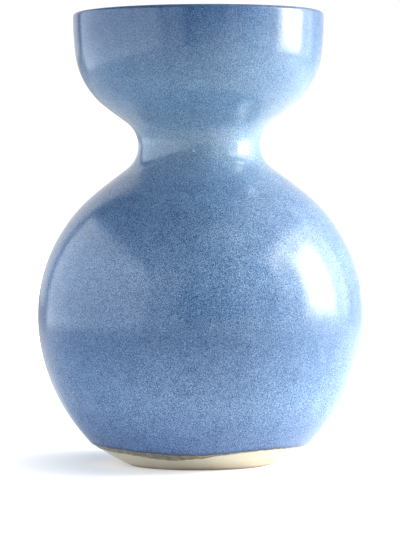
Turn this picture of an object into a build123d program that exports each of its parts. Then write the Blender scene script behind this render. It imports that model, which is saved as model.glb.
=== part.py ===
from build123d import *
from math import degrees, radians, sin
import os

# Flower vase in glazed stoneware: a globe, a pinched neck and a deep cup.
# Millimetres, +Z up, origin at the centre of the foot, on the surface it stands on.
# Every wall surface is the same chain of tangent arcs, drawn at its own depth below the outer glaze.

# Overall size
height = 315.0
belly_radius = 113.5
belly_height = 104.0

# Upper outline: radius and sweep in degrees of each arc, from the widest point up to the lip
upper_belly_radius = 110.0
upper_belly_sweep = 50.5
shoulder_radius = 400.0
shoulder_sweep = 4.0
neck_lower_radius = 20.5
neck_upper_radius = 20.0
neck_upper_sweep = 54.5
bowl_base_radius = 350.0
bowl_base_sweep = 3.0
bowl_radius = 55.0
bowl_sweep = 45.2

# Lower outline: from the widest point down to the foot
lower_belly_radius = 126.0
lower_belly_sweep = 44.5
foot_break_radius = 12.0
foot_break_sweep = 9.5
foot_bevel_sweep = 12.0
foot_edge_radius = 2.0

# Walls and coats
glaze_thickness = 0.6
clay_thickness = 5.0
margin_thickness = 0.3
glaze_gap = 0.4

# Where the coats end on the foot bevel: degrees from its start to the blue edge, then the olive band
glaze_line_sweep = 0.9
margin_sweep = 2.6

# Foot ring, underside recess and inner floor
foot_ring_width = 7.0
recess_depth = 3.5
recess_lean = 2.5
recess_round = 1.5
floor_thickness = 6.5
inner_corner_start = 60.0

# Derived sizes
neck_lower_sweep = upper_belly_sweep + shoulder_sweep
cup_side_sweep = neck_upper_sweep - bowl_base_sweep - bowl_sweep
wall = clay_thickness + 2 * glaze_thickness
lip_radius = wall / 2
clay_depth = glaze_thickness
lining_depth = glaze_thickness + clay_thickness


def rise(radius, start, end):
    """Height change along an arc of the outline between two slopes from the vertical, in degrees."""
    return radius * (sin(radians(end)) - sin(radians(start)))


# The cup's side is the arc that brings the lip to the full height of the vase
side_bottom = (
    belly_height
    + rise(upper_belly_radius, 0, upper_belly_sweep)
    + rise(shoulder_radius, upper_belly_sweep, neck_lower_sweep)
    + rise(neck_lower_radius, 0, neck_lower_sweep)
    + rise(neck_upper_radius, 0, neck_upper_sweep)
    + rise(bowl_base_radius, neck_upper_sweep - bowl_base_sweep, neck_upper_sweep)
    + rise(bowl_radius, cup_side_sweep, cup_side_sweep + bowl_sweep)
)
cup_side_radius = (height - lip_radius - side_bottom) / sin(radians(cup_side_sweep))

# The foot bevel is the arc that brings the foot's clay edge down to the standing surface
bevel_start = lower_belly_sweep + foot_break_sweep
bevel_end = bevel_start + foot_bevel_sweep
bevel_clay_top = (
    belly_height
    - rise(lower_belly_radius - clay_depth, 0, lower_belly_sweep)
    - rise(foot_break_radius - clay_depth, lower_belly_sweep, bevel_start)
)
bevel_clay_bottom = rise(foot_edge_radius, bevel_end, 90)
foot_bevel_radius = clay_depth + (bevel_clay_top - bevel_clay_bottom) / (
    sin(radians(bevel_end)) - sin(radians(bevel_start))
)

# The lining's bottom corner is the arc that meets the inner floor level
inner_sweep = inner_corner_start - bevel_start
inner_corner_height = (
    bevel_clay_top
    - rise(foot_bevel_radius - clay_depth, bevel_start, inner_corner_start)
    + clay_thickness * sin(radians(inner_corner_start))
)
inner_floor = recess_depth + floor_thickness
inner_corner_radius = lining_depth + (inner_corner_height - inner_floor) / (
    1 - sin(radians(inner_corner_start))
)

upper_arcs = [
    (upper_belly_radius, upper_belly_sweep),
    (shoulder_radius, shoulder_sweep),
    (neck_lower_radius, -neck_lower_sweep),
    (neck_upper_radius, -neck_upper_sweep),
    (bowl_base_radius, bowl_base_sweep),
    (bowl_radius, bowl_sweep),
    (cup_side_radius, cup_side_sweep),
]
belly_to_bevel = [
    (lower_belly_radius, lower_belly_sweep),
    (foot_break_radius, foot_break_sweep),
]


def arc_chain(start, heading, arcs, depth, turn):
    """Draw tangent arcs one after another, each kept concentric with the outline at this depth."""
    for radius, sweep in arcs:
        bulge = 1 if sweep > 0 else -1
        arc = JernArc(start, heading, radius - bulge * depth, turn * sweep)
        start = arc @ 1
        heading = arc % 1
    return start, heading


def up_to_lip(depth):
    """The wall from the widest point to the crest of the lip; returns the crest."""
    arcs = upper_arcs + [(lip_radius, 90)]
    return arc_chain((belly_radius - depth, belly_height), (0, 1), arcs, depth, 1)[0]


def up_to_lip_inside(depth):
    """The inner wall from the widest point to the crest of the lip; returns the crest."""
    side_top, heading = arc_chain((belly_radius - depth, belly_height), (0, 1), upper_arcs, depth, 1)
    return JernArc(side_top, heading, depth - lip_radius, -90) @ 1


def down_to(arcs, depth):
    """The wall from the widest point down; returns its last point and heading."""
    return arc_chain((belly_radius - depth, belly_height), (0, -1), arcs, depth, -1)


# Clay body: one cast shell with a turned foot ring and a recess under the floor
foot_arcs = belly_to_bevel + [(foot_bevel_radius, foot_bevel_sweep)]
lining_arcs = belly_to_bevel + [
    (foot_bevel_radius, inner_sweep),
    (inner_corner_radius, 90 - inner_corner_start),
]

with BuildPart() as clay_body:
    with BuildSketch(Plane.XZ):
        with BuildLine():
            up_to_lip(clay_depth)
            up_to_lip_inside(lining_depth)
            edge_start, edge_heading = down_to(foot_arcs, clay_depth)
            edge = JernArc(edge_start, edge_heading, foot_edge_radius, -(90 - bevel_end))
            ring_outer = edge @ 1
            ring_inner = (ring_outer.X - foot_ring_width, 0)
            recess_edge = (ring_inner[0] - recess_lean, recess_depth)
            Line(ring_outer, ring_inner)
            Line(ring_inner, recess_edge)
            Line(recess_edge, (0, recess_depth))
            Line((0, recess_depth), (0, inner_floor))
            floor_edge, _ = down_to(lining_arcs, lining_depth)
            Line((0, inner_floor), floor_edge)
        profile = make_face()
        recess_corners = (
            profile.vertices()
            .filter_by_position(Axis.Y, -0.1, recess_depth + 0.1)
            .filter_by_position(Axis.X, recess_edge[0] - 0.1, ring_inner[0] + 0.1)
        )
        fillet(recess_corners, radius=recess_round)
    revolve(axis=Axis.Z)

# Outer glaze: the speckled coat from the foot bevel up over the outside to the crest of the lip
glaze_arcs = belly_to_bevel + [(foot_bevel_radius, glaze_line_sweep)]

with BuildPart() as outer_glaze:
    with BuildSketch(Plane.XZ):
        with BuildLine():
            crest_out = up_to_lip(0)
            crest_in = up_to_lip(glaze_thickness)
            Line(crest_out, crest_in)
            line_out, _ = down_to(glaze_arcs, 0)
            line_in, _ = down_to(glaze_arcs, glaze_thickness)
            Line(line_out, line_in)
        profile = make_face()
        outer_corner = profile.vertices().sort_by_distance((line_out.X, line_out.Y))[0]
        fillet(outer_corner, radius=glaze_thickness / 2)
    revolve(axis=Axis.Z)

# Inner glaze: the lining of the cup, the throat, the globe and the floor
with BuildPart() as inner_glaze:
    with BuildSketch(Plane.XZ):
        with BuildLine():
            crest_in = up_to_lip_inside(lining_depth)
            crest_out = up_to_lip_inside(wall)
            Line(crest_in, crest_out)
            clay_floor, _ = down_to(lining_arcs, lining_depth)
            glaze_floor, _ = down_to(lining_arcs, wall)
            Line(clay_floor, (0, clay_floor.Y))
            Line((0, clay_floor.Y), (0, glaze_floor.Y))
            Line((0, glaze_floor.Y), glaze_floor)
        make_face()
    revolve(axis=Axis.Z)

# Margin glaze: the thin olive band on the foot bevel, just below the edge of the outer glaze
band_start_sweep = glaze_line_sweep + degrees(glaze_gap / foot_bevel_radius)
band_sweep = margin_sweep - degrees(glaze_gap / foot_bevel_radius)
band_arcs = belly_to_bevel + [(foot_bevel_radius, band_start_sweep)]
band_depth = glaze_thickness - margin_thickness

with BuildLine() as band_edge_paths:
    band_top_out, band_heading = down_to(band_arcs, band_depth)
    band_top_in, _ = down_to(band_arcs, glaze_thickness)

with BuildPart() as margin_glaze:
    with BuildSketch(Plane.XZ):
        with BuildLine():
            band_out = JernArc(band_top_out, band_heading, foot_bevel_radius - band_depth, -band_sweep)
            band_in = JernArc(band_top_in, band_heading, foot_bevel_radius - glaze_thickness, -band_sweep)
            Line(band_top_out, band_top_in)
            Line(band_out @ 1, band_in @ 1)
        make_face()
    revolve(axis=Axis.Z)

clay_body.part.label = "clay_body"
outer_glaze.part.label = "outer_glaze"
inner_glaze.part.label = "inner_glaze"
margin_glaze.part.label = "margin_glaze"

os.makedirs("parts", exist_ok=True)
export_step(clay_body.part, "parts/clay_body.step")
export_step(outer_glaze.part, "parts/outer_glaze.step")
export_step(inner_glaze.part, "parts/inner_glaze.step")
export_step(margin_glaze.part, "parts/margin_glaze.step")
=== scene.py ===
import bpy
import math
import random
import numpy as np
from mathutils import Matrix, Vector


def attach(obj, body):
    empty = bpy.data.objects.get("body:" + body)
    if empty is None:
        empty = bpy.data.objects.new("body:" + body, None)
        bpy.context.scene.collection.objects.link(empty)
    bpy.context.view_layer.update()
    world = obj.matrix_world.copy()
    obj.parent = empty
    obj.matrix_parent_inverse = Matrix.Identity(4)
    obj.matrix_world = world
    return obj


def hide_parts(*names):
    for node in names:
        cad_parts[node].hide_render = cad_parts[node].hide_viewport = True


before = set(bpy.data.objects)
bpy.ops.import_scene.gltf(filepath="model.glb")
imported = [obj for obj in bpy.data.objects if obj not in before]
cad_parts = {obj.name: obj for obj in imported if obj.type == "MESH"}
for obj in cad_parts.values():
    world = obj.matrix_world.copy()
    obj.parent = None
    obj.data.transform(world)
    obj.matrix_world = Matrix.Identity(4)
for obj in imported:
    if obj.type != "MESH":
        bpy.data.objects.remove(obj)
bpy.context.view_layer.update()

# A bulb-shaped stoneware vase on a white sweep. Metres, +Z up, origin at the centre of the foot.
# The camera looks along +Y, so the picture's right is +X.

# ---------------------------------------------------------------- camera
CAMERA_DISTANCE = 1.85
CAMERA_HEIGHT = 0.1845
AIM = (-0.0001, 0.0, 0.1374)
SENSOR = 36.0
FOCAL_IN_WIDTHS = 6.62
CAMERA_ROLL = math.radians(-0.4)
NEAR_CLIP = 0.01
FAR_CLIP = 60.0


def link(obj):
    bpy.context.scene.collection.objects.link(obj)
    return obj


def make_camera():
    data = bpy.data.cameras.new("camera")
    data.sensor_fit = "HORIZONTAL"
    data.sensor_width = SENSOR
    data.lens = SENSOR * FOCAL_IN_WIDTHS
    data.clip_start = NEAR_CLIP
    data.clip_end = FAR_CLIP
    cam = link(bpy.data.objects.new("camera", data))
    cam.location = (0.0, -CAMERA_DISTANCE, CAMERA_HEIGHT)
    look = (Vector(AIM) - cam.location).to_track_quat("-Z", "Y").to_matrix().to_4x4()
    cam.rotation_euler = (look @ Matrix.Rotation(CAMERA_ROLL, 4, "Z")).to_euler()
    bpy.context.scene.camera = cam


make_camera()

# ---------------------------------------------------------------- outline of the wall
# The same chain of tangent arcs as the CAD frame. An arc is its radius and its sweep in degrees,
# and a negative sweep bends the wall the other way. Three radii are the CAD's own results, to the
# micrometre: the cup's side brings the lip to the full height, the bevel brings the clay's foot edge
# down to the ground, and the floor's turn brings the lining to its floor.
HEIGHT = 0.315
BELLY_RADIUS = 0.1135
BELLY_HEIGHT = 0.104
GLAZE = 0.0006
CLAY = 0.0050
WALL = CLAY + 2 * GLAZE
LIP_RADIUS = WALL / 2
RECESS_DEPTH = 0.0035
RING_WIDTH = 0.007

# Upwards from the widest line
GLOBE_TOP = (0.110, 50.5)
SHOULDER_SLOPE = (0.400, 4.0)
NECK_BELOW = (0.0205, -54.5)
NECK_ABOVE = (0.020, -54.5)
CUP_FLARE = (0.350, 3.0)
CUP_BOWL = (0.055, 45.2)
CUP_SIDE = (0.227983, 6.3)
LIP = (LIP_RADIUS, 90.0)
UPPER_ARCS = (GLOBE_TOP, SHOULDER_SLOPE, NECK_BELOW, NECK_ABOVE, CUP_FLARE, CUP_BOWL, CUP_SIDE, LIP)

# Downwards from the widest line. The foot's edge is 2 mm in the clay, which lies a glaze deeper.
GLOBE_BOTTOM = (0.126, 44.5)
FOOT_TURN = (0.012, 9.5)
BEVEL_RADIUS = 0.141238
BEVEL = (BEVEL_RADIUS, 12.0)
FOOT_EDGE = (0.0026, 24.0)
TO_BEVEL = (GLOBE_BOTTOM, FOOT_TURN)
FOOT_ARCS = TO_BEVEL + (BEVEL, FOOT_EDGE)
# The inside leaves the wall half way down the bevel and turns on to the floor
HALF_BEVEL = (BEVEL_RADIUS, 6.0)
FLOOR_TURN = (0.014454, 30.0)
INSIDE_ARCS = TO_BEVEL + (HALF_BEVEL, FLOOR_TURN)

OUTLINE_STEP = 0.0002
FEWEST_STEPS = 24


def outline(arcs, up):
    """Fine points of the outer outline away from the widest point: radius, height, outward normal."""
    r, z, lean = BELLY_RADIUS, 0.0, 0.0
    rows = [(r, z, 1.0, 0.0)]
    for radius, sweep in arcs:
        bulge = 1.0 if sweep > 0 else -1.0
        centre_r = r - bulge * radius * math.cos(lean)
        centre_z = z - bulge * radius * math.sin(lean)
        count = max(FEWEST_STEPS, int(radius * math.radians(abs(sweep)) / OUTLINE_STEP))
        for i in range(1, count + 1):
            a = lean + math.radians(sweep) * i / count
            rows.append((
                centre_r + bulge * radius * math.cos(a),
                centre_z + bulge * radius * math.sin(a),
                math.cos(a), math.sin(a),
            ))
        r, z = rows[-1][:2]
        lean += math.radians(sweep)
    out = np.array(rows)
    if not up:
        out[:, [1, 3]] *= -1
    out[:, 1] += BELLY_HEIGHT
    return out


class Path:
    """A run of outline points, read by length along it and by depth below the surface."""

    def __init__(self, rows):
        step = np.hypot(np.diff(rows[:, 0]), np.diff(rows[:, 1]))
        self.s = np.concatenate([[0.0], np.cumsum(step)])
        self.rows = rows

    def at(self, s, depth=0.0):
        r, z, nr, nz = (np.interp(s, self.s, self.rows[:, k]) for k in range(4))
        return r - depth * nr, z - depth * nz


LIP_QUARTER = LIP_RADIUS * math.pi / 2
outer_up = outline(UPPER_ARCS, up=True)
outer_down = outline(FOOT_ARCS, up=False)
inner_down = outline(INSIDE_ARCS, up=False)

# The outside runs from the foot's edge to the crest of the lip
OUTER = Path(np.concatenate([outer_down[::-1], outer_up[1:]]))
BEVEL_TOP = OUTER.s[len(outer_down) - len(outline(TO_BEVEL, up=False))]
CREST = OUTER.s[-1]
LIP_START = CREST - LIP_QUARTER

# The inside is read at a depth below this one, which runs from the floor to the crest
INSIDE = Path(np.concatenate([inner_down[::-1], outer_up[1:]]))
INSIDE_LIP_START = INSIDE.s[-1] - LIP_QUARTER
LIP_R, LIP_Z = INSIDE.at(INSIDE_LIP_START, LIP_RADIUS)

# ---------------------------------------------------------------- surfaces of revolution
COLUMNS = 360
TURN = np.arange(COLUMNS) * 2 * math.pi / COLUMNS
# The innermost ring of a surface that reaches the axis; a fan of triangles closes it
AXIS_RING = 0.002


def waves(seed, count, low, high):
    """A smooth periodic function of the turn, -1 to 1: count waves of low to high periods round."""
    rng = random.Random(seed)
    total = np.zeros(COLUMNS)
    for _ in range(count):
        k = rng.randint(low, high)
        total += rng.uniform(0.4, 1.0) * np.sin(k * TURN + rng.uniform(0, 2 * math.pi))
    return total / np.abs(total).max()


def bump_at(degrees, width):
    """A rounded rise centred on one direction, 1 at its top; width in degrees."""
    away = (np.degrees(TURN) - degrees + 180) % 360 - 180
    return np.exp(-((away / width) ** 2))


def runs(level, *places):
    """A line round the foot: a level with rounded rises, each given as its size, direction and width."""
    line = np.full(COLUMNS, level)
    for size, direction, width in places:
        line += size * bump_at(direction, width)
    return line


SWELL_COUNT = 16
MOST_SWELLS_ROUND = 7
SHORTEST_SWELL = 0.06
LONGEST_SWELL = 0.2
SWELL_TWIST = 0.05


def unevenness(seed, s):
    """Slow swells of a hand-finished wall over length and turn, 0 to 1. s is (rows, columns)."""
    rng = random.Random(seed)
    total = np.zeros(s.shape)
    for _ in range(SWELL_COUNT):
        k = rng.randint(1, MOST_SWELLS_ROUND)
        length = rng.uniform(SHORTEST_SWELL, LONGEST_SWELL)
        phase, drift = rng.uniform(0, 2 * math.pi), rng.uniform(-1, 1)
        around = np.sin(k * TURN[None, :] + phase + drift * s / SWELL_TWIST)
        total += around * np.cos(2 * math.pi * s / length + phase)
    return 0.5 + 0.5 * total / np.abs(total).max()


def ring_mesh(name, r, z, v, low_pole=None, high_pole=None, zones=None):
    """A closed mesh from rows of rings. r and z are (rows, columns), and v is each row's height in the
    bake map. The last row joins the first, unless poles on the axis close the two ends: a pole is its
    height, and the map heights of its ring and its tip."""
    rows = r.shape[0]
    x, y = r * np.cos(TURN)[None, :], r * np.sin(TURN)[None, :]
    verts = np.stack([x, y, np.broadcast_to(z, r.shape)], -1).reshape(-1, 3).tolist()
    faces, uvs = [], []
    last = rows if low_pole is None else rows - 1
    for i in range(last):
        j = (i + 1) % rows
        va, vb = v[i], v[i + 1]
        for k in range(COLUMNS):
            m = (k + 1) % COLUMNS
            faces.append((i * COLUMNS + k, i * COLUMNS + m, j * COLUMNS + m, j * COLUMNS + k))
            a, b = k / COLUMNS, (k + 1) / COLUMNS
            uvs += [(a, va), (b, va), (b, vb), (a, vb)]
    for pole, row, flip in ((low_pole, 0, True), (high_pole, rows - 1, False)):
        if pole is None:
            continue
        verts.append((0.0, 0.0, pole[0]))
        tip = len(verts) - 1
        for k in range(COLUMNS):
            m = (k + 1) % COLUMNS
            tri = (row * COLUMNS + k, row * COLUMNS + m, tip)
            a, b = k / COLUMNS, (k + 1) / COLUMNS
            corner = [(a, pole[1]), (b, pole[1]), ((a + b) / 2, pole[2])]
            if flip:
                tri, corner = (tri[1], tri[0], tri[2]), [corner[1], corner[0], corner[2]]
            faces.append(tri)
            uvs += corner
    mesh = bpy.data.meshes.new(name)
    mesh.from_pydata(verts, [], faces)
    layer = mesh.uv_layers.new(name="OFBake")
    layer.data.foreach_set("uv", np.array(uvs, dtype=np.float32).ravel())
    mesh.polygons.foreach_set("use_smooth", [True] * len(faces))
    if zones is not None:
        attr = mesh.attributes.new("zones", "FLOAT_COLOR", "POINT")
        data = np.zeros((len(verts), 4), dtype=np.float32)
        data[: zones.shape[0] * COLUMNS, :3] = zones.reshape(-1, 3)
        data[:, 3] = 1.0
        attr.data.foreach_set("color", data.ravel())
    mesh.update()
    return link(bpy.data.objects.new(name, mesh))


def grid(s):
    return np.repeat(np.asarray(s)[:, None], COLUMNS, 1)


def map_heights(lengths, low, high):
    """Spreads rows over part of the bake map by their length along the wall."""
    lengths = np.asarray(lengths)
    span = lengths[-1] - lengths[0]
    return (low + (high - low) * (lengths - lengths[0]) / span).tolist()


# ---------------------------------------------------------------- blue coat
# Where the blue coat ends, measured down the foot bevel from its top
EDGE_LEVEL = -0.0012
FRONT_RUN = (0.0054, -97, 27)
BACK_RIGHT_RUN = (0.0034, 48, 34)
BACK_LEFT_RUN = (0.0042, 141, 26)
RIGHT_RUN = (0.0024, -22, 15)
LONG_RIPPLE = 0.00070
SHORT_RIPPLE = 0.00042
EDGE = (
    runs(EDGE_LEVEL, FRONT_RUN, BACK_RIGHT_RUN, BACK_LEFT_RUN, RIGHT_RUN)
    + LONG_RIPPLE * waves(seed=5, count=9, low=9, high=34)
    + SHORT_RIPPLE * waves(seed=6, count=12, low=36, high=84)
)
BLUE_END = BEVEL_TOP - EDGE
# The bead along that edge stands this much proud of the coat, and dies out upwards
BEAD_LEVEL = 0.00018
BEAD_CHANGE = 0.00012
LOWEST_BEAD = 0.0001
BEAD_REACH = 0.0035
BEAD = BEAD_LEVEL + BEAD_CHANGE * waves(seed=11, count=8, low=5, high=21)
DARK_EDGE_REACH = 0.0022

GLAZE_SWELL = 0.00022
SWELL_FADE_BELOW = 0.02
SWELL_FADE_ABOVE = 0.01
LIP_THINNING = 0.00022
LIP_THINNING_REACH = 0.0022
RIM_REACH = 0.0011

ROLL_ROWS = 7
EDGE_ROWS = 25
EDGE_CROWDING = 1.35
EDGE_ROWS_REACH = 0.030
COAT_STEP = 0.0021
LIP_APPROACH = 0.002
LIP_ROWS = 16
BACK_ROWS = 48
# The parts of the bake map that the side that shows and the clay side take, from 0 to 1 up the map
COAT_MAP = (0.004, 0.955)
COAT_BACK_MAP = (0.965, 0.996)


def outer_coat():
    """The blue coat: a closed skin, rolled at its lower edge, thin over the crest of the lip."""
    thick = GLAZE + np.maximum(BEAD, LOWEST_BEAD)
    rows_s, rows_h, dark = [], [], []
    # Round the edge, from the clay outwards
    for a in np.linspace(0, math.pi / 2, ROLL_ROWS):
        rows_s.append(BLUE_END + thick * (1 - math.cos(a)))
        rows_h.append(thick * math.sin(a))
        dark.append(np.ones(COLUMNS))
    # Up from the wavy edge to a level ring
    start = BLUE_END + thick
    level_ring = BEVEL_TOP + EDGE_ROWS_REACH
    for t in np.linspace(0.0, 1.0, EDGE_ROWS + 1)[1:] ** EDGE_CROWDING:
        s = start + (level_ring - start) * t
        rows_s.append(s)
        rows_h.append(GLAZE + (thick - GLAZE) * np.exp(-((s - start) / BEAD_REACH) ** 2))
        dark.append(np.exp(-(s - BLUE_END) / DARK_EDGE_REACH))
    # Level rings, closer together over the lip
    upper = np.arange(level_ring, LIP_START - LIP_APPROACH, COAT_STEP)[1:]
    lip = np.linspace(LIP_START - LIP_APPROACH, CREST, LIP_ROWS)
    for s in np.concatenate([upper, lip]):
        rows_s.append(np.full(COLUMNS, s))
        rows_h.append(np.full(COLUMNS, GLAZE))
        dark.append(np.zeros(COLUMNS))
    s, h, dark = np.array(rows_s), np.array(rows_h), np.array(dark)
    swell = unevenness(3, s) * GLAZE_SWELL * np.clip((s - BLUE_END) / SWELL_FADE_BELOW, 0, 1)
    swell *= np.clip((CREST - s) / SWELL_FADE_ABOVE, 0, 1)
    thin = LIP_THINNING * np.exp(-((CREST - s) / LIP_THINNING_REACH) ** 2)
    r, z = OUTER.at(s, GLAZE - h + swell + thin)
    rim = np.exp(-((CREST - s) / RIM_REACH) ** 2)
    # Back down the clay side to the edge
    back_s = np.linspace(0, 1, BACK_ROWS)[:, None] * (BLUE_END - CREST)[None, :] + CREST
    back_r, back_z = OUTER.at(back_s[:-1], GLAZE)
    zones = np.stack([dark, rim, 0 * dark], -1)
    zones = np.concatenate([zones, np.zeros(back_r.shape + (3,))])
    v = map_heights(s[:, 0], *COAT_MAP) + map_heights(np.arange(BACK_ROWS), *COAT_BACK_MAP)
    return ring_mesh("blue_coat", np.concatenate([r, back_r]), np.concatenate([z, back_z]), v, zones=zones)


# ---------------------------------------------------------------- lining
LINING_STEP = 0.0024
LINING_BACK_STEP = 0.011
LINING_LIP_ROWS = 12
FLOOR_ROWS = 14
LINING_BACK_MAP = (0.008, 0.035)
LINING_MAP = (0.045, 0.97)
LINING_TIPS = (0.003, 0.996)


def inner_side(depth, step, thinning):
    """One side of the lining from the crest of the lip to the floor's centre: radius, height, length."""
    turn = np.linspace(math.pi / 2, math.pi, LINING_LIP_ROWS)[:-1]
    radius = depth - LIP_RADIUS
    length = np.append(np.arange(INSIDE_LIP_START, INSIDE.s[0], -step), INSIDE.s[0])
    wall_r, wall_z = INSIDE.at(length, depth)
    thin = thinning * np.exp(-((turn - math.pi / 2) * radius / LIP_THINNING_REACH) ** 2)
    r = np.concatenate([LIP_R + (radius - thin) * np.cos(turn), wall_r])
    z = np.concatenate([LIP_Z + (radius - thin) * np.sin(turn), wall_z])
    floor = np.linspace(r[-1], AXIS_RING, FLOOR_ROWS)[1:]
    r, z = np.concatenate([r, floor]), np.concatenate([z, z[-1] + 0 * floor])
    s = np.concatenate([[0.0], np.cumsum(np.hypot(np.diff(r), np.diff(z)))])
    return r, z, s


def inner_lining():
    """The lining: cup, throat, globe and floor. Its clay side comes first, up from the floor's centre,
    and then the side that shows, down from the crest of the lip."""
    r, z, s = inner_side(WALL, LINING_STEP, LIP_THINNING)
    back_r, back_z, back_s = inner_side(GLAZE + CLAY, LINING_BACK_STEP, 0.0)
    length = grid(s)
    swell = unevenness(8, length) * GLAZE_SWELL * np.clip(length / SWELL_FADE_ABOVE, 0, 1)
    swell *= np.clip((s[-1] - length) / SWELL_FADE_BELOW, 0, 1)
    zones = np.zeros((len(back_r) + len(r), COLUMNS, 3))
    zones[len(back_r):, :, 1] = np.exp(-(s / RIM_REACH) ** 2)[:, None]
    all_r = np.concatenate([grid(back_r)[::-1], grid(r) + swell])
    all_z = np.concatenate([grid(back_z)[::-1], grid(z)])
    v = map_heights(-back_s[::-1], *LINING_BACK_MAP) + map_heights(s, *LINING_MAP)
    low_pole = (float(back_z[-1]), LINING_BACK_MAP[0], LINING_TIPS[0])
    high_pole = (float(z[-1]), LINING_MAP[1], LINING_TIPS[1])
    return ring_mesh("lining_coat", all_r, all_z, v, low_pole, high_pole, zones)


# ---------------------------------------------------------------- clay
# Tool lines turned into the bevel: two sets, each with its spacing
TOOL_LINE = 0.00005
WIDE_SPACING = 0.0017
FINE_SPACING = 0.00113
FINE_SHARE = 0.7
FINE_OFFSET = 1.1
CLAY_SWELL = 0.00009
FOOT_STEP = 0.00035
CUT_START = 0.0025
CUT_END = 0.004

# The recess under the floor: flat, then a rounded corner, then a small bevel down to the ring
FLAT_MARGIN = 0.0040
CORNER_REACH = 0.0018
CORNER_DROP = 0.00192
CORNER_TURN = math.pi / 3
RING_BEVEL_REACH = 0.0012
RING_BEVEL_RISE = 0.0010
SPIRAL_DEPTH = 0.00010
SPIRAL_PITCH = 0.0080
SPIRAL_MARGIN = 0.0045
SPIRAL_FADE = 0.004

RECESS_ROWS = 26
CORNER_ROWS = 8
RING_BEVEL_ROWS = 5
RING_ROWS = 8
HIDDEN_ROWS = 60
CLAY_LIP_ROWS = 5
CLAY_FLOOR_ROWS = 5
UNDERSIDE_MAP = (0.03, 0.40)
FOOT_MAP = (0.41, 0.95)
HIDDEN_MAP = (0.96, 0.992)
CLAY_TIPS = (0.004, 0.997)


def underside():
    """From the centre of the recess out to the foot ring's outer edge: radius and height of each ring."""
    ring_r, _ = OUTER.at(0.0, GLAZE)
    inner_ring = ring_r - RING_WIDTH
    flat_end = inner_ring - FLAT_MARGIN
    turn = np.linspace(0, 1, CORNER_ROWS + 1)[1:] * CORNER_TURN
    r = np.concatenate([
        np.linspace(AXIS_RING, flat_end, RECESS_ROWS),
        flat_end + CORNER_REACH * np.sin(turn),
        np.linspace(inner_ring - RING_BEVEL_REACH, inner_ring, RING_BEVEL_ROWS),
        np.linspace(inner_ring, ring_r, RING_ROWS + 2)[1:-1],
    ])
    z = np.concatenate([
        np.full(RECESS_ROWS, RECESS_DEPTH),
        RECESS_DEPTH - CORNER_DROP * (1 - np.cos(turn)),
        np.linspace(RING_BEVEL_RISE, 0.0, RING_BEVEL_ROWS),
        np.zeros(RING_ROWS),
    ])
    r, z = grid(r), grid(z)
    fade = np.clip((inner_ring - SPIRAL_MARGIN - r) / SPIRAL_FADE, 0, 1)
    spiral = SPIRAL_DEPTH * np.sin(2 * math.pi * r / SPIRAL_PITCH + TURN[None, :]) * fade
    return r, z + spiral


def turned_foot(s):
    """How deep the bevel is cut below the clay's outline, by length from the foot's edge."""
    fade = np.clip(s / CUT_START, 0, 1) * np.clip((BEVEL_TOP + CUT_END - s) / CUT_END, 0, 1)
    wander = 0.5 * waves(seed=21, count=6, low=1, high=4)
    fine_wander = 0.8 * waves(seed=22, count=6, low=1, high=5)
    lines = np.sin(2 * math.pi * s / WIDE_SPACING + wander[None, :])
    lines += FINE_SHARE * np.sin(2 * math.pi * s / FINE_SPACING + FINE_OFFSET + fine_wander[None, :])
    return TOOL_LINE * (1 + 0.5 * lines) * fade + CLAY_SWELL * unevenness(31, s) * fade


def clay_inside():
    """The clay behind the lining, from the lip down to the floor's centre."""
    turn = np.linspace(math.pi / 2, math.pi, CLAY_LIP_ROWS + 2)[1:-1]
    length = np.linspace(INSIDE_LIP_START, INSIDE.s[0], HIDDEN_ROWS)
    wall_r, wall_z = INSIDE.at(length, GLAZE + CLAY)
    floor = np.linspace(wall_r[-1], AXIS_RING, CLAY_FLOOR_ROWS + 1)[1:]
    r = np.concatenate([LIP_R + CLAY / 2 * np.cos(turn), wall_r, floor])
    z = np.concatenate([LIP_Z + CLAY / 2 * np.sin(turn), wall_z, np.full(CLAY_FLOOR_ROWS, wall_z[-1])])
    return grid(r), grid(z)


def clay_shell():
    """The clay: recess, flat ring, turned foot bevel with fine tool lines, and the wall behind the glaze."""
    foot = np.arange(0.0, BEVEL_TOP + CUT_END, FOOT_STEP)
    rest = np.linspace(foot[-1], CREST, HIDDEN_ROWS)[1:]
    s = grid(np.concatenate([foot, rest]))
    under_r, under_z = underside()
    wall_r, wall_z = OUTER.at(s, GLAZE + turned_foot(s))
    in_r, in_z = clay_inside()
    v = map_heights(np.arange(len(under_r)), *UNDERSIDE_MAP)
    v += map_heights(np.arange(len(foot)), *FOOT_MAP)
    v += map_heights(np.arange(len(rest) + len(in_r)), *HIDDEN_MAP)
    low_pole = (RECESS_DEPTH, UNDERSIDE_MAP[0], CLAY_TIPS[0])
    high_pole = (float(in_z[-1, 0]), HIDDEN_MAP[1], CLAY_TIPS[1])
    all_r, all_z = np.concatenate([under_r, wall_r, in_r]), np.concatenate([under_z, wall_z, in_z])
    return ring_mesh("clay_shell", all_r, all_z, v, low_pole, high_pole)


# ---------------------------------------------------------------- olive margin
# How far the olive coat reaches below the blue edge
MARGIN_LEVEL = 0.0014
LEFT_POOL = (0.0048, -148, 34)
FRONT_POOL = (0.0066, -108, 24)
BACK_POOL = (0.0038, 105, 52)
LONG_WAVER = 0.0006
SHORT_WAVER = 0.0003
NARROWEST_MARGIN = 0.0009
MARGIN_COAT = 0.00030
MARGIN_ROUNDNESS = 7
MARGIN_OVERLAP = 0.0002
MARGIN_SINK = 0.00008
MARGIN_ROWS = 22
MARGIN_BACK_MAP = (0.02, 0.16)
MARGIN_MAP = (0.2, 0.98)


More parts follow.
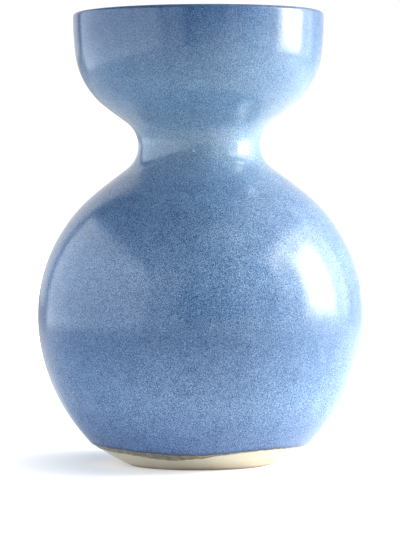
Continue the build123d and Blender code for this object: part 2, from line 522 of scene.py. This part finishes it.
def margin_band():
    """The thin olive coat that shows below the blue edge on the foot."""
    wide = runs(MARGIN_LEVEL, LEFT_POOL, FRONT_POOL, BACK_POOL)
    long_waver = LONG_WAVER * waves(seed=41, count=9, low=6, high=26)
    short_waver = SHORT_WAVER * waves(seed=42, count=9, low=30, high=70)
    wide = np.maximum(wide + (long_waver + short_waver), NARROWEST_MARGIN)
    top = BLUE_END + MARGIN_OVERLAP
    across = np.linspace(0, 1, MARGIN_ROWS)
    body = MARGIN_COAT * np.clip((1 - across) * MARGIN_ROUNDNESS, 0, 1) ** 0.5
    s = top[None, :] - across[:, None] * wide[None, :]
    r, z = OUTER.at(s, GLAZE - body[:, None])
    back_r, back_z = OUTER.at(s[::-1], GLAZE + MARGIN_SINK)
    r, z = np.concatenate([r, back_r])[::-1], np.concatenate([z, back_z])[::-1]
    fade = np.concatenate([across, across[::-1]])
    zones = np.repeat(np.stack([fade, 0 * fade, 0 * fade], -1)[:, None, :], COLUMNS, 1)
    v = map_heights(np.arange(MARGIN_ROWS), *MARGIN_BACK_MAP)
    v += map_heights(np.arange(MARGIN_ROWS + 1), *MARGIN_MAP)
    return ring_mesh("olive_margin", r, z, v, zones=zones)


# ---------------------------------------------------------------- materials
BLUE_DARK = (0.022, 0.052, 0.150)
BLUE_MEAN = (0.116, 0.208, 0.366)
BLUE_PALE = (0.30, 0.46, 0.67)
DEEP_BLUE = (0.016, 0.026, 0.095, 1)
RIM_BROWN = (0.045, 0.030, 0.042, 1)
PINHOLE_PALE = (0.55, 0.62, 0.70, 1)
LINING_PALENESS = 0.95
CLAY_CREAM = (0.85, 0.76, 0.60, 1)
CLAY_PALE = (0.93, 0.86, 0.71, 1)
CLAY_WARM = (0.81, 0.69, 0.52, 1)
# Brown of the painted contact shade at the bottom of the foot
CLAY_CONTACT_SHADE = (0.42, 0.27, 0.20, 1)
GROG_BROWN = (0.50, 0.40, 0.29, 1)
OLIVE_DARK = (0.275, 0.245, 0.165, 1)
OLIVE_PALE = (0.295, 0.265, 0.182, 1)
OLIVE_OVER_CLAY = (0.62, 0.54, 0.40, 1)

# Colour bands up the wall, as shares of the height: red, green and blue against the mean. They are partly
# the glaze as it fired, thin and deep blue at the lip and pooled, pale and greyer in the neck, and partly
# painted reflection and shade: painted shade and dark reflections in the bands on the lower belly, at the
# shoulder and under the lip, and painted pale reflections at the foot and in the neck.
EDGE_TONE = (0.04, (0.86, 0.90, 1.07))
FOOT_TONE = (0.15, (1.15, 1.14, 1.18))
LOW_BELLY_TONE = (0.29, (0.50, 0.62, 0.75))
BELLY_TONE = (0.44, (0.90, 0.93, 0.96))
SHOULDER_TONE = (0.61, (0.70, 0.75, 0.81))
NECK_TONE = (0.70, (1.26, 1.15, 0.97))
CUP_TONE = (0.79, (0.95, 0.97, 0.91))
UNDER_LIP_TONE = (0.94, (0.39, 0.50, 0.59))
LIP_TONE = (1.0, (0.38, 0.47, 0.58))
TONES = (
    EDGE_TONE, FOOT_TONE, LOW_BELLY_TONE, BELLY_TONE, SHOULDER_TONE,
    NECK_TONE, CUP_TONE, UNDER_LIP_TONE, LIP_TONE,
)
PALEST = max(NECK_TONE[1])

# Where the speckle calms, as shares of the height: not on the belly, most in the neck, a little in the cup
SPECKLED_BELLY = (0.62, 0.0)
CALM_NECK = (0.69, 0.55)
CALM_CUP = (0.80, 0.22)

# Sizes of the patterns, in features to the metre. A pinhole's edge is in shares of its cell, and only
# the cells above the cut have one.
GRAIN_SCALE = 2100.0
CLOUD_SCALE = 95.0
RIPPLE_SCALE = 260.0
PINHOLE_SCALE = 60.0
PINHOLE_EDGE = (0.030, 0.044)
PINHOLE_CUT = 0.72
WANDER_SCALE = 14.0
THROWING_LINES = (9.0, 9.0, 95.0)
CLAY_BANDS = (30.0, 30.0, 700.0)
GROG_SCALE = 1500.0
CLAY_PATCH_SCALE = 70.0
OLIVE_PATCH_SCALE = 160.0
OLIVE_RIPPLE_SCALE = 600.0


def grey(value):
    return (value, value, value, 1)


def scaled(color, factor):
    return tuple(c * factor for c in color) + (1,)


def new_material(name):
    mat = bpy.data.materials.new(name)
    mat.use_nodes = True
    tree = mat.node_tree
    tree.nodes.clear()
    out = tree.nodes.new("ShaderNodeOutputMaterial")
    shader = tree.nodes.new("ShaderNodeBsdfPrincipled")
    tree.links.new(shader.outputs[0], out.inputs["Surface"])
    return mat, tree, shader


def put(obj, mat):
    obj.data.materials.clear()
    obj.data.materials.append(mat)


def feed(tree, socket, value):
    """Sets a socket to a number or a colour, or links it to another node's output."""
    if isinstance(value, (float, int, tuple)):
        socket.default_value = value
    else:
        tree.links.new(value, socket)


def place_of(tree):
    return tree.nodes.new("ShaderNodeTexCoord").outputs["Object"]


def mapped(tree, vector, location=(0.0, 0.0, 0.0), scale=(1.0, 1.0, 1.0)):
    node = tree.nodes.new("ShaderNodeMapping")
    node.inputs["Location"].default_value = location
    node.inputs["Scale"].default_value = scale
    tree.links.new(vector, node.inputs["Vector"])
    return node.outputs["Vector"]


def noise(tree, scale, detail=2.0, rough=0.5, stretch=None):
    node = tree.nodes.new("ShaderNodeTexNoise")
    node.inputs["Scale"].default_value = scale
    node.inputs["Detail"].default_value = detail
    node.inputs["Roughness"].default_value = rough
    vector = place_of(tree)
    if stretch:
        vector = mapped(tree, vector, scale=stretch)
    tree.links.new(vector, node.inputs["Vector"])
    return node.outputs["Fac"]


def ramp(tree, value, stops):
    node = tree.nodes.new("ShaderNodeValToRGB")
    node.color_ramp.elements[0].position, node.color_ramp.elements[0].color = stops[0]
    node.color_ramp.elements[1].position, node.color_ramp.elements[1].color = stops[-1]
    for position, color in stops[1:-1]:
        node.color_ramp.elements.new(position).color = color
    tree.links.new(value, node.inputs["Fac"])
    return node.outputs["Color"]


def remap(tree, value, old, new):
    """Runs from one range to another, and stays at the second range's ends outside the first."""
    node = tree.nodes.new("ShaderNodeMapRange")
    node.inputs["From Min"].default_value, node.inputs["From Max"].default_value = old
    node.inputs["To Min"].default_value, node.inputs["To Max"].default_value = new
    tree.links.new(value, node.inputs["Value"])
    return node.outputs["Result"]


def blend(tree, factor, first, second, kind="MIX"):
    node = tree.nodes.new("ShaderNodeMix")
    node.data_type = "RGBA"
    node.blend_type = kind
    color_a, color_b = [i for i in node.inputs if i.type == "RGBA"]
    feed(tree, node.inputs[0], factor)
    feed(tree, color_a, first)
    feed(tree, color_b, second)
    return [o for o in node.outputs if o.type == "RGBA"][0]


def math_node(tree, kind, a, b):
    node = tree.nodes.new("ShaderNodeMath")
    node.operation = kind
    feed(tree, node.inputs[0], a)
    feed(tree, node.inputs[1], b)
    return node.outputs[0]


def axes_of(tree, vector):
    node = tree.nodes.new("ShaderNodeSeparateXYZ")
    tree.links.new(vector, node.inputs[0])
    return node.outputs


def channels_of(tree, color):
    node = tree.nodes.new("ShaderNodeSeparateColor")
    tree.links.new(color, node.inputs[0])
    return node.outputs


def zone_channels(tree):
    attr = tree.nodes.new("ShaderNodeAttribute")
    attr.attribute_name = "zones"
    return channels_of(tree, attr.outputs["Color"])


def bump(tree, shader, height, strength, distance):
    node = tree.nodes.new("ShaderNodeBump")
    node.inputs["Strength"].default_value = strength
    node.inputs["Distance"].default_value = distance
    tree.links.new(height, node.inputs["Height"])
    tree.links.new(node.outputs["Normal"], shader.inputs["Normal"])


def height_share(tree, wander):
    """How far up the vase a point is, 0 to 1, with slow waves so that bands of colour wander a little."""
    centred = math_node(tree, "SUBTRACT", noise(tree, WANDER_SCALE), 0.5)
    wave = math_node(tree, "MULTIPLY", centred, wander)
    height = math_node(tree, "ADD", axes_of(tree, place_of(tree))["Z"], wave)
    return math_node(tree, "DIVIDE", height, HEIGHT)


def pinholes(tree):
    """Scattered pinpricks in the glaze, 1 inside one and 0 elsewhere."""
    cells = tree.nodes.new("ShaderNodeTexVoronoi")
    cells.inputs["Scale"].default_value = PINHOLE_SCALE
    tree.links.new(place_of(tree), cells.inputs["Vector"])
    near = remap(tree, cells.outputs["Distance"], PINHOLE_EDGE, (1.0, 0.0))
    chosen = math_node(tree, "GREATER_THAN", channels_of(tree, cells.outputs["Color"])[0], PINHOLE_CUT)
    return math_node(tree, "MULTIPLY", near, chosen)


def blue_glaze(name, paleness):
    """Glossy glaze: fine pale and dark blue grains, calmer where it pooled, dark at its edge and lip, and
    banded up the wall by height tones that are partly painted reflection and shade.
    """
    mat, tree, shader = new_material(name)
    height = height_share(tree, wander=0.016)
    grain = noise(tree, GRAIN_SCALE, detail=1.0)
    cloud = math_node(tree, "SUBTRACT", noise(tree, CLOUD_SCALE, detail=3.0, rough=0.55), 0.5)
    mixed = math_node(tree, "ADD", grain, math_node(tree, "MULTIPLY", cloud, 0.10))
    dark, mean, pale = [scaled(shade, paleness * PALEST) for shade in (BLUE_DARK, BLUE_MEAN, BLUE_PALE)]
    color = ramp(tree, mixed, [(0.37, dark), (0.50, mean), (0.63, pale)])
    calm = [(place, grey(share)) for place, share in ((0.0, 0.0), SPECKLED_BELLY, CALM_NECK, CALM_CUP)]
    color = blend(tree, ramp(tree, height, calm), color, mean)
    # The height tones paint reflection and shade into the colour, along with the glaze's own bands.
    tones = [(place, scaled(tint, 1 / PALEST)) for place, tint in TONES]
    color = blend(tree, 1.0, color, ramp(tree, height, tones), "MULTIPLY")
    prick = pinholes(tree)
    color = blend(tree, math_node(tree, "MULTIPLY", prick, 0.85), color, PINHOLE_PALE)
    edge, rim = zone_channels(tree)[:2]
    color = blend(tree, remap(tree, edge, (0.10, 0.75), (0.0, 0.92)), color, DEEP_BLUE)
    color = blend(tree, remap(tree, rim, (0.1, 0.9), (0.0, 0.9)), color, RIM_BROWN)
    tree.links.new(color, shader.inputs["Base Color"])
    tree.links.new(remap(tree, grain, (0.3, 0.7), (0.18, 0.11)), shader.inputs["Roughness"])
    shader.inputs["IOR"].default_value = 1.52
    ripple = noise(tree, RIPPLE_SCALE)
    throwing = noise(tree, 1.0, detail=1.0, stretch=THROWING_LINES)
    relief = math_node(tree, "ADD", math_node(tree, "MULTIPLY", grain, 0.35), ripple)
    relief = math_node(tree, "ADD", relief, math_node(tree, "MULTIPLY", throwing, 1.5))
    relief = math_node(tree, "SUBTRACT", relief, prick)
    bump(tree, shader, relief, strength=0.18, distance=0.0004)
    return mat


def bare_clay():
    """Cream stoneware: faint turning bands, warmer patches, dark grains of grog, and painted contact shade
    darkening the bottom of the foot brown.
    """
    mat, tree, shader = new_material("bare_clay")
    bands = noise(tree, 1.0, detail=3.0, rough=0.6, stretch=CLAY_BANDS)
    grog = noise(tree, GROG_SCALE, rough=0.6)
    patch = noise(tree, CLAY_PATCH_SCALE, detail=3.0, rough=0.6)
    # Painted contact shade: the clay darkens to brown at the bottom of the foot, where it meets the floor.
    contact_shade = remap(tree, height_share(tree, wander=0.002), (0.002, 0.008), (0.5, 0.0))
    color = ramp(tree, bands, [(0.3, CLAY_CREAM), (0.7, CLAY_PALE)])
    color = blend(tree, remap(tree, patch, (0.35, 0.75), (0.0, 0.45)), color, CLAY_WARM)
    color = blend(tree, remap(tree, grog, (0.62, 0.74), (0.0, 0.5)), color, GROG_BROWN)
    color = blend(tree, contact_shade, color, CLAY_CONTACT_SHADE)
    tree.links.new(color, shader.inputs["Base Color"])
    tree.links.new(remap(tree, grog, (0.3, 0.7), (0.72, 0.9)), shader.inputs["Roughness"])
    shader.inputs["Specular IOR Level"].default_value = 0.3
    bump(tree, shader, grog, strength=0.25, distance=0.0003)
    return mat


def olive_glaze():
    """The thin olive coat, a little cloudy, thinning to show the clay at its lower edge."""
    mat, tree, shader = new_material("olive_glaze")
    patch = noise(tree, OLIVE_PATCH_SCALE, detail=3.0, rough=0.6)
    color = ramp(tree, patch, [(0.3, OLIVE_DARK), (0.7, OLIVE_PALE)])
    fade = remap(tree, zone_channels(tree)[0], (0.70, 1.0), (0.0, 0.45))
    color = blend(tree, fade, color, OLIVE_OVER_CLAY)
    tree.links.new(color, shader.inputs["Base Color"])
    tree.links.new(remap(tree, patch, (0.3, 0.7), (0.2, 0.34)), shader.inputs["Roughness"])
    bump(tree, shader, noise(tree, OLIVE_RIPPLE_SCALE), strength=0.15, distance=0.0003)
    return mat


BUILT = [
    (clay_shell(), "clay_body", "bare_clay", bare_clay()),
    (outer_coat(), "outer_glaze", "blue_glaze", blue_glaze("blue_glaze", 1.0)),
    (inner_lining(), "inner_glaze", "lining_glaze", blue_glaze("lining_glaze", LINING_PALENESS)),
    (margin_band(), "margin_glaze", "olive_glaze", olive_glaze()),
]
for piece, node, slot_name, material in BUILT:
    put(piece, material)
    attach(piece, "root")
    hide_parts(node)

# ---------------------------------------------------------------- studio
WHITE = (1, 1, 1, 1)
FLOOR_WHITE = (0.74, 0.75, 0.765, 1)
FLOOR_REACH = 20
# The floor's glow in the picture grows with distance from a point left of and behind the vase
SHADOW_CENTRE = (-0.045, 0.09)
SHADOW_STRETCH = 2.0
SEEN_SPREAD = (0.035, 0.19)
SEEN_GLOW = (0.17, 1.07)
# Its glow as light on the vase grows outwards, and more towards the key lights on the right
FAR_SPREAD = (0.50, 1.2)
FAR_GLOW = (0.03, 0.16)
RIGHT_SPREAD = (0.0, 0.30)
RIGHT_GLOW = (0.0, 0.75)


def seen_by_camera(tree, seen, unseen):
    """One strength for what the camera sees and another for the light it throws on the vase."""
    path = tree.nodes.new("ShaderNodeLightPath")
    node = tree.nodes.new("ShaderNodeMix")
    node.data_type = "FLOAT"
    tree.links.new(path.outputs["Is Camera Ray"], node.inputs[0])
    feed(tree, node.inputs[2], unseen)
    feed(tree, node.inputs[3], seen)
    return node.outputs[0]


def length_of(tree, vector):
    node = tree.nodes.new("ShaderNodeVectorMath")
    node.operation = "LENGTH"
    tree.links.new(vector, node.inputs[0])
    return node.outputs["Value"]


def floor_paper():
    """White paper with a painted glow: to the camera it is dimmest around the vase's shadow and brighter
    further out, so that it runs into the background, and as light on the vase it grows outwards and towards
    the key lights.
    """
    mat, tree, shader = new_material("floor_white")
    shader.inputs["Base Color"].default_value = FLOOR_WHITE
    shader.inputs["Roughness"].default_value = 0.9
    shader.inputs["Specular IOR Level"].default_value = 0.1
    shader.inputs["Emission Color"].default_value = WHITE
    place = place_of(tree)
    shift = (-SHADOW_CENTRE[0], -SHADOW_CENTRE[1] / SHADOW_STRETCH, 0.0)
    around = mapped(tree, place, location=shift, scale=(1.0, 1 / SHADOW_STRETCH, 1.0))
    seen = remap(tree, length_of(tree, around), SEEN_SPREAD, SEEN_GLOW)
    far = remap(tree, length_of(tree, place), FAR_SPREAD, FAR_GLOW)
    right = remap(tree, axes_of(tree, place)["X"], RIGHT_SPREAD, RIGHT_GLOW)
    glow = seen_by_camera(tree, seen, math_node(tree, "ADD", far, right))
    tree.links.new(glow, shader.inputs["Emission Strength"])
    return mat


def white_floor():
    reach = FLOOR_REACH
    mesh = bpy.data.meshes.new("floor")
    corners = [(-reach, -reach, 0), (reach, -reach, 0), (reach, reach, 0), (-reach, reach, 0)]
    mesh.from_pydata(corners, [], [(0, 1, 2, 3)])
    mesh.update()
    obj = link(bpy.data.objects.new("floor", mesh))
    put(obj, floor_paper())


white_floor()


def panel(name, centre, facing, size, radiance, tint=(1.0, 1.0, 1.0)):
    """An evenly bright rectangle that faces along one direction and isn't seen by the camera."""
    data = bpy.data.lights.new(name, "AREA")
    data.color = tint
    data.shape = "RECTANGLE"
    data.size, data.size_y = size
    data.energy = radiance * math.pi * size[0] * size[1]
    obj = link(bpy.data.objects.new(name, data))
    obj.location = centre
    obj.rotation_euler = Vector(facing).to_track_quat("-Z", "Y").to_euler()
    obj.visible_camera = False


FROM_RIGHT = (-1, 0, 0)
FROM_LEFT = (1, 0, 0)
FROM_CAMERA = (0, 1, 0)
FROM_UPPER_RIGHT = (-0.5, 0.36, -0.79)
KEY_TINT = (0.98, 0.99, 0.93)
FILL_TINT = (0.95, 1.02, 1.09)

# The key softbox on the right is brightest in its middle, so it is made of panels one inside the other.
# Panels in one plane would hide each other from reflections, so a small gap parts them.
KEY_CENTRE = (1.2, 0.03, 0.49)
KEY_SIZE = (0.76, 0.96)
KEY_RINGS = 6
KEY_EDGE_RADIANCE = 2.2
RING_GAP = 0.005
for ring in range(1, KEY_RINGS + 1):
    size = tuple(side * ring / KEY_RINGS for side in KEY_SIZE)
    centre = (KEY_CENTRE[0] + ring * RING_GAP, KEY_CENTRE[1], KEY_CENTRE[2])
    radiance = KEY_EDGE_RADIANCE * (KEY_RINGS + 1 - ring)
    panel("key_softbox_%d" % ring, centre, FROM_RIGHT, size, radiance, KEY_TINT)

panel(
    "key_wall", centre=(1.25, 0.025, 0.63), facing=FROM_RIGHT,
    size=(1.75, 1.2), radiance=2.4, tint=KEY_TINT,
)
panel(
    "key_top_softbox", centre=(1.24, -0.25, 1.08), facing=FROM_RIGHT,
    size=(1.10, 0.50), radiance=3.0, tint=KEY_TINT,
)
panel(
    "upper_right_reflector", centre=(0.75, -0.55, 1.35), facing=FROM_UPPER_RIGHT,
    size=(1.2, 0.9), radiance=0.9,
)
panel(
    "left_reflector", centre=(-0.9, -0.18, 0.47), facing=FROM_LEFT,
    size=(2.05, 0.92), radiance=1.90, tint=FILL_TINT,
)
panel(
    "left_front_reflector", centre=(-0.6, -1.2, 0.47), facing=FROM_CAMERA,
    size=(0.6, 0.92), radiance=0.85, tint=FILL_TINT,
)
panel(
    "right_front_reflector", centre=(1.15, -1.2, 0.47), facing=FROM_CAMERA,
    size=(1.2, 0.92), radiance=0.95,
)

# What surrounds the set, as light: the turn, from 0 at the left over the camera's side to 0.5 at the right
# and on round the back to 1, and the strength there. A white sweep stands behind, with a dark gap at its
# left end.
DARK_LEFT = (0.0, 0.03)
DARK_RIGHT = (0.49, 0.10)
SWEEP_START = (0.51, 1.1)
SWEEP_RIGHT = (0.62, 1.45)
SWEEP_BACK_RIGHT = (0.66, 1.05)
SWEEP_BEHIND_RIGHT = (0.71, 1.05)
SWEEP_BEHIND = (0.78, 0.92)
SWEEP_END = (0.846, 1.05)
GAP_START = (0.854, 0.0)
GAP_END = (1.0, 0.0)
SURROUNDINGS = (
    DARK_LEFT, DARK_RIGHT, SWEEP_START, SWEEP_RIGHT, SWEEP_BACK_RIGHT,
    SWEEP_BEHIND_RIGHT, SWEEP_BEHIND, SWEEP_END, GAP_START, GAP_END,
)
SEEN_BACKGROUND = 1.1


def studio_world():
    """White to the camera, and the studio's surroundings to the vase."""
    world = bpy.data.worlds.new("studio")
    bpy.context.scene.world = world
    world.use_nodes = True
    tree = world.node_tree
    tree.nodes.clear()
    out = tree.nodes.new("ShaderNodeOutputWorld")
    back = tree.nodes.new("ShaderNodeBackground")
    back.inputs["Color"].default_value = WHITE
    coord = tree.nodes.new("ShaderNodeTexCoord")
    turn = tree.nodes.new("ShaderNodeTexGradient")
    turn.gradient_type = "RADIAL"
    tree.links.new(coord.outputs["Generated"], turn.inputs["Vector"])
    stops = [(place, grey(strength)) for place, strength in SURROUNDINGS]
    light = ramp(tree, turn.outputs["Fac"], stops)
    tree.links.new(seen_by_camera(tree, SEEN_BACKGROUND, light), back.inputs["Strength"])
    tree.links.new(back.outputs[0], out.inputs["Surface"])


studio_world()
bpy.context.scene.view_settings.view_transform = "Standard"
